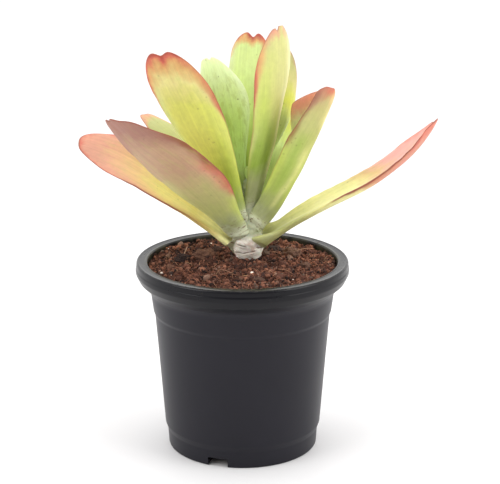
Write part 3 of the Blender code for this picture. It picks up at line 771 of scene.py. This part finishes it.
def leaf_finish(name, leaf, seed):
    """Waxy leaf flesh: colours from base to tip, blushes, some of which are painted light and painted shade,
    streaks, green patches, a pale bloom with cork in the wrinkles of the foot, a dark margin and dark dots.
    """
    finish = Finish(
        name + " flesh", Roughness=0.45, Subsurface_Weight=0.1, Subsurface_Scale=0.003,
        Subsurface_Radius=(1.0, 0.7, 0.25), Specular_IOR_Level=0.3,
    )
    across, along, _depth = finish.split(finish.make("UVMap", uv_map="leaf"))
    side = across * 2.0 - 1.0
    from_side = side + (finish.noise(70.0, 2.0) - 0.5) * 0.3
    from_base = along + (finish.noise(160.0, 3.0) - 0.5) * 0.12

    def drawn_out(wide, long, *noise, shift=0.0):
        """Noise that is drawn out along the blade."""
        return finish.noise(*noise, where=finish.join(side * wide, along * long, seed + shift))

    finish.colour = finish.ramp(from_base, leaf.body)
    for tint, strength, place, spread, start, full, *fade in leaf.blushes:
        distance = finish.math("ABSOLUTE", from_side - place)
        share = finish.step(distance, spread, 0.0) * finish.step(from_base, start, full) * strength
        if fade:
            share = share * finish.step(from_base, fade[1], fade[0])
        finish.coat(tint, share)
    tint, strength, start, full = leaf.under
    if strength:
        lower = finish.make("Attribute", output=2, attribute_name="lower")
        finish.coat(tint, lower * finish.step(from_base, start, full) * strength)

    streaks = drawn_out(5.0, 1.1, 2.2, 4.0, 0.6)
    fine_streaks = drawn_out(9.0, 1.6, 2.0)
    mottle = finish.noise(260.0, 5.0, 0.7)
    finish.brighten(streaks * 0.34 + fine_streaks * 0.14 + mottle * 0.32 + 0.61, 1.02)
    patches = finish.step(drawn_out(2.6, 4.0, 2.2, 4.0, 0.65, shift=0.5), 0.48, 0.62)
    finish.coat(LEAF_GREEN, patches * finish.step(from_base, 1.0, 0.8) * leaf.patches)

    pale = leaf.pale_foot
    cloud = finish.step(finish.noise(120.0, 5.0, 0.65), 0.3, 0.75)
    bloom = finish.step(along, 0.22, 0.0) * cloud * leaf.bloom
    bloom = finish.math("MAXIMUM", bloom, finish.step(from_base, pale, pale - 0.08) * 0.85)
    finish.coat(WAX, bloom)
    wrinkles = finish.step(drawn_out(1.2, 30.0, 3.0, 5.0, 0.7), 0.54, 0.62)
    finish.coat(BARK_BROWN, wrinkles * finish.step(from_base, pale + 0.03, pale - 0.06) * 0.85)

    margin = finish.step(finish.math("ABSOLUTE", side), 0.955, 1.0)
    margin = finish.math("MAXIMUM", margin, finish.step(along, 0.985, 1.0))
    finish.coat(DARK_RED, margin * finish.step(from_base, *leaf.rim_from) * leaf.rim_line)
    dots = finish.make("TexVoronoi", {"Vector": finish.here, "Scale": 230.0})
    rare = finish.step(finish.noise(60.0, 1.0), 0.54, 0.62)
    finish.coat(SPECK_BROWN, finish.step(dots, 0.2, 0.1) * rare * leaf.specks)
    finish.rough((bloom + mottle) * 0.2 + 0.38)
    finish.bump(fine_streaks * 0.7 + finish.noise(1400.0, 2.0) * 0.3, 0.12, 0.6)
    return finish.done()


def make_leaf(name, entry, seed):
    """One leaf: rings of the upper and the lower skin, closed by a cap at the base and by the tip line."""
    leaf = SimpleNamespace(**{**LEAF_USUAL, **entry})
    below = np.linspace(-heel_share(leaf)[0], 0.0, HEEL_ROWS, endpoint=False)
    lines = np.concatenate([below, 1.0 - (1.0 - np.linspace(0.0, 1.0, leaf.rows)) ** 1.25])
    rows, columns = len(lines), leaf.columns
    spots = np.sin(np.linspace(-0.5 * np.pi, 0.5 * np.pi, columns))
    ring = np.concatenate([spots, spots[-2:0:-1]])
    skins = np.concatenate([np.ones(columns), -np.ones(columns - 2)])
    around = len(ring)
    along = np.concatenate([np.repeat(lines[:-1], around), np.ones(columns), lines[:1]])
    side = np.concatenate([np.tile(ring, rows - 1), spots, [0.0]])
    face = np.concatenate([np.tile(skins, rows - 1), np.ones(columns), [0.0]])
    points = leaf_points(leaf, along, side, face, seed)

    places = np.arange(around)
    following = (places + 1) % around
    on_tip = np.where(places < columns, places, around - places) + (rows - 1) * around
    last = (rows - 2) * around
    bands = grid_faces(rows - 1, around)[:, ::-1]
    tip_band = np.stack([last + places, on_tip, on_tip[following], last + following], axis=-1)
    base_cap = np.stack([np.full(around, len(points) - 1), places, following], axis=-1)
    flesh = leaf_finish(name, leaf, seed)
    piece = mesh_piece(name + "_fine", points, [bands, tip_band, base_cap], flesh, name)
    layer = piece.data.uv_layers.new(name="leaf")
    corners = np.empty(len(piece.data.loops), dtype=np.int32)
    piece.data.loops.foreach_get("vertex_index", corners)
    layer.data.foreach_set("uv", np.stack([0.5 + 0.5 * side, along], axis=-1)[corners].ravel())
    store(piece, "lower", face < 0.0)
    close_poles(piece)


def pot_inner_wall():
    """Inner side of the pot, from the floor up to the rim, as (radius, height) points."""
    floor = FLOOR_LIFT + FLOOR_THICKNESS
    return [
        (FOOT_RADIUS - 2.0, floor), (FOOT_RADIUS - 1.2, floor + 0.8), (46.7, 15.0), (49.6, 53.5),
        (51.9, COLLAR_FOOT_HEIGHT), (54.4, FLARE_FOOT_HEIGHT), (57.2, 108.0),
        (RIM_INNER_RADIUS, POT_HEIGHT - 1.0),
    ]


def pot_outer_wall():
    """Outer side of the pot, from the rim's top down to the foot: lip, flare, collar, wall and foot band."""
    return [
        (RIM_INNER_RADIUS + 0.7, POT_HEIGHT - 0.2), (RIM_INNER_RADIUS + 1.6, POT_HEIGHT - 0.6),
        (RIM_RADIUS - 2.4, POT_HEIGHT - 0.4), (RIM_RADIUS - 1.3, POT_HEIGHT),
        (RIM_RADIUS - 0.5, POT_HEIGHT - 1.0), (RIM_RADIUS - 0.3, POT_HEIGHT - 3.9),
        (RIM_RADIUS, POT_HEIGHT - 4.5), (RIM_RADIUS, POT_HEIGHT - 7.0), (RIM_RADIUS - 2.2, POT_HEIGHT - 11.5),
        (57.7, 101.7), (56.4, FLARE_FOOT_HEIGHT + 0.8), (55.9, FLARE_FOOT_HEIGHT - 0.8),
        (54.5, COLLAR_FOOT_HEIGHT + 2.0), (53.6, COLLAR_FOOT_HEIGHT), (51.1, 53.5),
        (48.1, FOOT_BAND_HEIGHT + 4.0), (46.6, FOOT_BAND_HEIGHT), (FOOT_RADIUS, 0.7),
        (FOOT_RADIUS - 0.6, 0.0),
    ]


def plastic_finish():
    """Black moulded plastic: satin with a fine grain and faint turning lines, near black from the lip's
    underside up to the rim inside and out as painted shade, with peat dust on its upper faces and a green
    tinge on the lip's inner edge.
    """
    finish = Finish("black nursery plastic", Roughness=0.33, Specular_IOR_Level=0.22)
    x, y, z = finish.split(finish.here)
    cloud = finish.noise(28.0, 5.0, 0.6)
    grain = finish.noise(900.0, 3.0, 0.6)
    rings = finish.noise(1.0, 2.0, where=finish.join(0.0, 0.0, z * 420.0))
    finish.colour = finish.blend(cloud, srgb(23, 22, 29), srgb(30, 29, 37))
    # Painted shade: near black over the lip, the rim and the inside wall from 101 mm up.
    finish.coat(srgb(6, 6, 8), finish.step(z, 101.0 * MM, 106.0 * MM) * 0.7)
    upward = finish.step(finish.split(finish.make("NewGeometry", output=1))[2], 0.3, 0.95)
    dust = upward * finish.step(finish.noise(240.0, 6.0, 0.7), 0.45, 0.8) * 0.4
    finish.coat(srgb(112, 108, 102), dust)
    radius = finish.math("SQRT", x * x + y * y)
    moss = finish.step(radius, 61.2 * MM, 58.5 * MM) * finish.step(z, 100.0 * MM, 116.0 * MM)
    moss = moss * finish.step(finish.noise(90.0, 4.0, 0.6), 0.35, 0.65) * 0.6
    finish.coat(srgb(80, 78, 62), moss)
    smoother = finish.step(z, 104.0 * MM, 112.0 * MM) * -0.12
    finish.rough(cloud * 0.08 + (dust + moss) * 0.15 + smoother + 0.36)
    finish.bump(grain * 0.6 + rings * 0.4, 0.04, 0.5)
    return finish.done()


def make_pot():
    """The pot: its profile turned round the axis, with drain notches cut through the foot."""
    foot_inner = FOOT_RADIUS - FOOT_RING_WIDTH
    profile = [(0.0, FLOOR_LIFT + FLOOR_THICKNESS), *pot_inner_wall(), *pot_outer_wall()]
    profile += [(foot_inner, 0.0), (foot_inner - 0.5, FLOOR_LIFT), (0.0, FLOOR_LIFT)]
    points, faces = turned(rounded(profile), POT_STEPS)
    pot = mesh_piece("pot_moulded", points, [faces], plastic_finish(), "pot")
    close_poles(pot)
    for number in range(NOTCH_COUNT):
        cut_notch(pot, math.radians(NOTCH_FIRST_AZIMUTH + number * 360.0 / NOTCH_COUNT))
    pot.data.set_sharp_from_angle(angle=math.radians(50.0))


def cut_notch(pot, azimuth):
    """Subtract a drain notch's block, with rounded edges, from the pot and apply the cut."""
    low = -2.0
    outer = FOOT_RADIUS + 6.0
    size = np.array([outer - NOTCH_INNER_RADIUS, NOTCH_WIDTH, NOTCH_HEIGHT - low]) * MM
    middle = np.array([0.5 * (outer + NOTCH_INNER_RADIUS), 0.0, 0.5 * (NOTCH_HEIGHT + low)]) * MM
    block = bmesh.new()
    bmesh.ops.create_cube(block, size=1.0)
    bmesh.ops.scale(block, vec=size.tolist(), verts=block.verts)
    bmesh.ops.bevel(block, geom=block.edges[:], offset=0.5 * MM, segments=3, profile=0.5, affect="EDGES")
    bmesh.ops.translate(block, vec=middle.tolist(), verts=block.verts)
    mesh = bpy.data.meshes.new("notch block")
    block.to_mesh(mesh)
    block.free()
    cutter = place_object("notch_block", mesh)
    cutter.rotation_euler = (0.0, 0.0, azimuth)
    boolean = pot.modifiers.new("Notch", "BOOLEAN")
    boolean.operation = "DIFFERENCE"
    boolean.solver = "EXACT"
    boolean.object = cutter
    graph = bpy.context.evaluated_depsgraph_get()
    cut = bpy.data.meshes.new_from_object(pot.evaluated_get(graph))
    pot.modifiers.clear()
    pot.data = cut
    bpy.data.objects.remove(cutter)


def from_stem(x, y):
    """The distance from the stem's axis."""
    return np.hypot(x - STEM_X, y - STEM_Y)


def soil_height(x, y):
    """Height of the soil at x and y: a low mound round the stem, and rounded bumps."""
    height = SOIL_EDGE_HEIGHT + SOIL_MOUND * np.exp(-((from_stem(x, y) / SOIL_MOUND_RADIUS) ** 2))
    for bump_x, bump_y, radius, bump in SOIL_BUMPS:
        height = height + bump * np.exp(-((x - bump_x) ** 2 + (y - bump_y) ** 2) / radius**2)
    return height


def soil_surface(x, y):
    """The soil's height with its crumbly relief: rumpled heights of three sizes, the finer ones ridged."""
    flat = np.stack([x, y, np.zeros_like(x)], axis=-1)
    broad = 0.9 * rumple(flat, 11.0, 11)
    crumbs = 1.2 * (0.5 - np.abs(rumple(flat, 5.0, 12)))
    grains = 0.5 * (0.5 - np.abs(rumple(flat, 2.2, 13)))
    return soil_height(x, y) + broad + crumbs + grains


def peat_finish():
    """Coco peat: the tint of each crumb, broken up by specks and damp patches, painted shade on the left and
    painted light on the right, matt.
    """
    finish = Finish("coco peat crumbs", Roughness=0.95, Specular_IOR_Level=0.15)
    finish.colour = finish.make("Attribute", attribute_name="tint")
    patchy = finish.noise(60.0, 3.0)
    fine = finish.noise(900.0, 4.0, 0.7)
    # Painted shade and light: the peat is darker on the left, where the leaves shade it, and lighter on the
    # right.
    painted_light_right = finish.step(finish.split(finish.here)[0], -25.0 * MM, 40.0 * MM)
    finish.brighten(patchy * 1.6 + painted_light_right * 0.3 + fine * 0.9, 0.92)
    finish.coat(srgb(168, 118, 88), finish.step(finish.noise(800.0, 2.0), 0.62, 0.72) * 0.4)
    finish.bump(fine, 0.5, 0.8)
    return finish.done()


def make_soil(peat):
    """The bed of peat: a polar grid for the top, then the sides and the bottom inside the pot."""
    steps = 260
    bottom = NOTCH_HEIGHT + 1.0
    rings = np.linspace(0.0, SOIL_EDGE_RADIUS, 110)
    wall = [(radius - CLEARANCE, height) for radius, height in reversed(pot_inner_wall()[2:-1])]
    outline = [(radius, SOIL_EDGE_HEIGHT) for radius in rings]
    outline += [(SOIL_EDGE_RADIUS, SOIL_EDGE_HEIGHT - 2.0), *wall]
    outline += [(FOOT_RADIUS - 2.0 - CLEARANCE, bottom), (0.0, bottom)]
    points, faces = turned(outline, steps)
    top = points[: len(rings) * steps]
    top[:, 2] = soil_surface(top[:, 0], top[:, 1])
    soil = mesh_piece("peat_bed", points, [faces], peat, "soil")
    store(soil, "tint", np.tile(PEAT_BED, (len(points), 1)), "FLOAT_COLOR", "color")
    close_poles(soil)


def loose_bits(name, peat, bits, faces, tints, sharp=180.0):
    """One piece of many bits of the same build, each with its own tint. faces are the first bit's."""
    bits = np.asarray(bits)
    count, each = bits.shape[:2]
    shifts = (np.arange(count) * each)[:, None, None]
    groups = [(group[None] + shifts).reshape(-1, group.shape[1]) for group in faces]
    piece = mesh_piece(name, bits.reshape(-1, 3), groups, peat, sharp=sharp)
    store(piece, "tint", np.repeat(tints, each, axis=0), "FLOAT_COLOR", "color")


def draw_tints(random, table, count):
    """A random tint of the table for each bit."""
    tints, shares = zip(*table)
    return np.array(tints)[random.choice(len(tints), size=count, p=shares)]


def ball(subdivisions):
    """Points and triangles of a ball of radius 1."""
    shape = bmesh.new()
    bmesh.ops.create_icosphere(shape, subdivisions=subdivisions, radius=1.0)
    points = np.array([vertex.co[:] for vertex in shape.verts])
    faces = np.array([[vertex.index for vertex in face.verts] for face in shape.faces])
    shape.free()
    return points, faces


def random_turns(random, count):
    """Rotation matrices in random directions, from random quaternions."""
    w, x, y, z = unit(random.normal(size=(count, 4))).T
    rows = (
        (1 - 2 * (y * y + z * z), 2 * (x * y - w * z), 2 * (x * z + w * y)),
        (2 * (x * y + w * z), 1 - 2 * (x * x + z * z), 2 * (y * z - w * x)),
        (2 * (x * z - w * y), 2 * (y * z + w * x), 1 - 2 * (x * x + y * y)),
    )
    return np.stack([np.stack(row, axis=-1) for row in rows], axis=1)


def scatter(random, count, edge=SOIL_EDGE_RADIUS - 0.8):
    """Random places on the soil, even over its area, clear of the stem."""
    radius = edge * np.sqrt(random.uniform(0.0, 1.0, size=count))
    angle = random.uniform(0.0, 2.0 * np.pi, size=count)
    x, y = radius * np.cos(angle), radius * np.sin(angle)
    push = np.maximum(STEM_CLEAR / np.maximum(from_stem(x, y), 0.1), 1.0)
    return STEM_X + (x - STEM_X) * push, STEM_Y + (y - STEM_Y) * push


def round_the_stem(random, count):
    """Random places in a ring round the stem's foot."""
    radius = random.uniform(PILE_FOOT, PILE_REACH, size=count)
    angle = random.uniform(0.0, 2.0 * np.pi, size=count)
    return STEM_X + radius * np.cos(angle), STEM_Y + radius * np.sin(angle)


def make_crumbs(name, peat, count, small, large, detail, seed, places=scatter):
    """Loose lumps on the soil: balls with their points pushed in and out at random, squashed and turned. They
    are piled up a little against the stem.
    """
    random = np.random.default_rng(seed)
    shape, triangles = ball(detail)
    size = small + (large - small) * random.uniform(0.0, 1.0, size=count) ** 2.5
    squash = random.uniform(0.45, 1.5, size=(count, 1, 3))
    bumps = random.uniform(0.72, 1.2, size=(count, len(shape), 1))
    lumps = shape[None] * bumps * squash * size[:, None, None]
    lumps = np.einsum("kij,knj->kni", random_turns(random, count), lumps)
    x, y = places(random, count)
    piled = PILE_HEIGHT * ease((PILE_REACH - from_stem(x, y)) / 4.0)
    z = soil_surface(x, y) + size * 0.3 + piled
    tints = draw_tints(random, CRUMB_TINTS, count)
    loose_bits(name, peat, lumps + np.stack([x, y, z], axis=-1)[:, None], [triangles], tints, sharp=40.0)


def make_clods(peat):
    """Large clods: flattened balls whose points are pushed out by rumpled heights of two sizes."""
    shape, triangles = ball(5)
    clods = []
    for number, (x, y, radius, height, _tint) in enumerate(LARGE_CLODS):
        ball_points = shape * radius
        swell = 0.14 * rumple(ball_points, 4.5, 60 + number) + 0.07 * rumple(ball_points, 1.6, 80 + number)
        clod = shape * (1.0 + swell)[:, None] * (radius, 0.8 * radius, height)
        clods.append(clod + (x, y, soil_height(x, y) + 0.35 * height))
    loose_bits("peat_clods", peat, clods, [triangles], [clod[-1] for clod in LARGE_CLODS])


def make_grit(peat):
    """Small white grains of grit."""
    shape, triangles = ball(3)
    grains = [shape * size * (1.2, 0.9, 0.9) + (x, y, soil_height(x, y) + 1.0) for x, y, size in GRIT]
    loose_bits("white_grit", peat, grains, [triangles], [srgb(240, 226, 212)] * len(GRIT))


def rod_faces(rings, sides):
    """Faces of a rod of rings of points: its sides and its two ends."""
    ring = np.arange(sides)
    return [grid_faces(rings, sides), np.stack([ring[::-1], ring + (rings - 1) * sides])]


def tapering_rod(points, radius, sides):
    """Rings of corners round points that follow a nearly straight line, narrower towards the end."""
    axis = unit(points[-1] - points[0])
    first = unit(np.cross(axis, (0.0, 1.0, 0.0)))
    second = np.cross(axis, first)
    corner = np.arange(sides)[:, None] * 2.0 * np.pi / sides
    thick = radius * np.linspace(1.0, 0.6, len(points))[:, None, None]
    return (points[:, None] + thick * (first * np.cos(corner) + second * np.sin(corner))).reshape(-1, 3)


def make_straws(peat):
    """A few pale straws and a dark twig that stick out of the peat."""
    rings, sides = 6, 6
    share = np.linspace(0.0, 1.0, rings)[:, None]
    straws = []
    for start, end, bow, radius, _tint in STRAWS:
        line = np.array(start) * (1.0 - share) + np.array(end) * share
        line[:, 2] += bow * np.sin(np.pi * share[:, 0])
        straws.append(tapering_rod(line, radius, sides))
    loose_bits("peat_straws", peat, straws, rod_faces(rings, sides), [straw[-1] for straw in STRAWS])


def make_fibres(peat, count=800, seed=31):
    """Coir fibres: three-sided threads along arcs that rise a little off the soil and sink at both ends."""
    random = np.random.default_rng(seed)
    rings, sides = 7, 3
    share = np.linspace(0.0, 1.0, rings)
    middle_x, middle_y = scatter(random, count, SOIL_EDGE_RADIUS - 4.0)
    length = random.uniform(3.0, 11.0, size=(count, 1))
    heading = random.uniform(0.0, 2.0 * np.pi, size=(count, 1))
    bend = random.normal(0.0, 0.9, size=(count, 1))
    angle = heading + bend * (share - 0.5)
    x = middle_x[:, None] + (share - 0.5) * length * np.cos(angle)
    y = middle_y[:, None] + (share - 0.5) * length * np.sin(angle)
    inside = np.minimum(1.0, (SOIL_EDGE_RADIUS - 0.6) / np.maximum(np.hypot(x, y), 1.0))
    x, y = x * inside, y * inside
    hump = random.uniform(0.2, 1.3, size=(count, 1)) * np.sin(np.pi * share)
    line = np.stack([x, y, soil_surface(x, y) + 0.35 + hump], axis=-1)
    radius = random.uniform(0.08, 0.22, size=(count, 1)) * (1.0 - 0.6 * np.abs(2.0 * share - 1.0))
    sideways = np.stack([-np.sin(angle), np.cos(angle), np.zeros_like(angle)], axis=-1)
    corner = np.arange(sides)[:, None] * 2.0 * np.pi / sides
    ring = sideways[:, :, None] * np.cos(corner) + np.array([0.0, 0.0, 1.0]) * np.sin(corner)
    threads = (line[:, :, None] + radius[..., None, None] * ring).reshape(count, -1, 3)
    tints = draw_tints(random, FIBRE_TINTS, count)
    loose_bits("coir_fibres", peat, threads, rod_faces(rings, sides), tints)


def stem_finish():
    """The stem: chalky cream wax with pinkish, brown and grey-green patches, and brown cork in the scars."""
    finish = Finish(
        "waxy stem", Roughness=0.75, Specular_IOR_Level=0.25, Subsurface_Weight=0.1, Subsurface_Scale=0.002,
    )
    scar = finish.make("Attribute", output=2, attribute_name="scar")
    height = finish.split(finish.here)[2]
    fine = finish.noise(900.0, 4.0, 0.7)
    squat = {"Vector": finish.here, "Rotation": (0.5, 0.3, 0.0), "Scale": (1.0, 1.0, 2.6)}
    layers = finish.noise(300.0, 5.0, 0.7, where=finish.make("Mapping", squat))
    creams = [(0.3, srgb(208, 194, 174)), (0.5, srgb(240, 234, 222)), (0.68, srgb(226, 222, 204))]
    finish.colour = finish.ramp(finish.noise(150.0, 4.0, 0.6), creams)
    finish.coat(srgb(186, 140, 116), finish.step(finish.noise(110.0, 3.0, 0.6), 0.52, 0.66) * 0.55)
    finish.coat(srgb(146, 112, 88), finish.step(layers, 0.56, 0.7) * 0.7)
    finish.coat(srgb(166, 174, 138), finish.step(height, 131.0 * MM, 137.0 * MM) * 0.85)
    damp = finish.step(height, 120.5 * MM, 116.5 * MM) * finish.step(fine, 0.35, 0.6) * 0.7
    finish.coat(srgb(120, 84, 64), damp)
    finish.coat(srgb(104, 76, 58), scar * finish.step(layers, 0.2, 0.52))
    finish.bump(layers * 0.7 + fine * 0.3, 0.3, 0.7)
    return finish.done()


def make_stem():
    """The stem: a turned outline with its corners smoothed away, made uneven by rumpled heights and ringed by
    tilted leaf scars, each a groove over a low lip.
    """
    outline = np.array(STEM_OUTLINE)
    travelled = np.concatenate([[0.0], np.cumsum(np.linalg.norm(np.diff(outline, axis=0), axis=1))])
    marks = np.linspace(0.0, travelled[-1], 260)
    fine = np.stack([np.interp(marks, travelled, outline[:, axis]) for axis in range(2)], axis=-1)
    kernel = np.hanning(9) / np.hanning(9).sum()
    for axis in range(2):
        fine[4:-4, axis] = np.convolve(fine[:, axis], kernel, mode="valid")
    points, faces = turned(fine, 200)
    radius = np.maximum(np.hypot(points[:, 0], points[:, 1]), 0.001)
    azimuth = np.degrees(np.arctan2(points[:, 1], points[:, 0]))
    scar = np.zeros(len(points))
    swell = 0.6 * rumple(points, 10.0, 41) + 0.16 * rumple(points * (1.0, 1.0, 1.6), 4.0, 42)
    swell += 0.05 * rumple(points * (1.0, 1.0, 2.0), 1.4, 44)
    for height, tilt, direction, depth in SCARS:
        level = height + tilt * np.cos(np.radians(azimuth - direction)) + 0.3 * rumple(points, 8.0, 43)
        above = points[:, 2] - level
        groove = np.exp(-((above / 0.45) ** 2))
        lip = np.exp(-(((above + 0.9) / 0.6) ** 2))
        broken = ease(0.5 + 0.9 * rumple(points, 11.0, int(height * 10)))
        scar = np.maximum(scar, groove * broken)
        swell = swell + depth * (0.5 * lip - groove) * broken
    points[:, :2] *= (1.0 + swell * ease(radius / 2.0) / radius)[:, None]
    stem = mesh_piece("waxy_stem", points + STEM, [faces], stem_finish(), "stem")
    store(stem, "scar", scar)
    close_poles(stem)


def make_floor():
    """A plain pale floor that is flat as far as the camera sees."""
    reach = 4.5
    corners = [(-reach, -reach, 0.0), (reach, -reach, 0.0), (reach, reach, 0.0), (-reach, reach, 0.0)]
    mesh = bpy.data.meshes.new("floor")
    mesh.from_pydata(corners, [], [(0, 1, 2, 3)])
    finish = Finish("pale floor", Base_Color=srgb(232, 231, 231), Roughness=0.6, Specular_IOR_Level=0.2)
    mesh.materials.append(finish.material)
    floor = place_object("floor", mesh)


def add_light(name, place, aim, size, power):
    """A square soft light at a place, turned to shine at another."""
    light = bpy.data.lights.new(name, "AREA")
    light.shape = "SQUARE"
    light.size = size
    light.energy = power
    lamp = place_object(name, light)
    lamp.location = place
    x, y, z = np.array(aim) - np.array(place)
    lamp.rotation_euler = (math.atan2(math.hypot(x, y), -z), 0.0, math.atan2(y, x) - 0.5 * math.pi)


def light_studio():
    """White surroundings, dimmer towards the viewer, and three soft lights: overhead, left and right."""
    world = bpy.data.worlds.new("studio")
    world.use_nodes = True
    nodes = Nodes(world.node_tree)
    depth = nodes.split(nodes.make("TexCoord"))[1]
    shade = {"Color": (1.0, 1.0, 1.0, 1.0), "Strength": nodes.step(depth, -1.0, 0.1, 0.35, 1.5)}
    nodes.feed(nodes.tree.nodes["Background"], shade)
    bpy.context.scene.world = world
    target = (0.0, 0.0, 0.14)
    add_light("overhead light", (0.0, 0.1, 1.5), target, 1.0, 3.0)
    add_light("left light", (-1.1, -0.7, 0.9), target, 0.8, 8.0)
    add_light("right light", (1.1, -0.5, 0.8), target, 0.8, 8.0)


def place_camera():
    """The camera at the viewer's angle."""
    camera = bpy.data.cameras.new("camera")
    camera.lens = CAMERA_LENS
    camera.sensor_width = SENSOR_WIDTH
    eye = place_object("camera", camera)
    eye.location = [length * MM for length in CAMERA_PLACE]
    eye.rotation_euler = (math.radians(90.0 - CAMERA_DIP), 0.0, 0.0)
    bpy.context.scene.camera = eye
    bpy.context.scene.view_settings.view_transform = "Standard"


def main():
    place_camera()
    light_studio()
    make_floor()
    make_pot()
    peat = peat_finish()
    make_soil(peat)
    make_crumbs("peat_crumbs", peat, 6500, 0.3, 1.3, detail=1, seed=21)
    make_crumbs("peat_lumps", peat, 260, 1.0, 2.1, detail=2, seed=22)
    make_crumbs("stem_crumbs", peat, 420, 0.4, 1.3, detail=1, seed=23, places=round_the_stem)
    make_clods(peat)
    make_grit(peat)
    make_straws(peat)
    make_fibres(peat)
    make_stem()
    for number, (name, entry) in enumerate(LEAVES.items()):
        make_leaf(name, entry, 100 + 10 * number)


main()
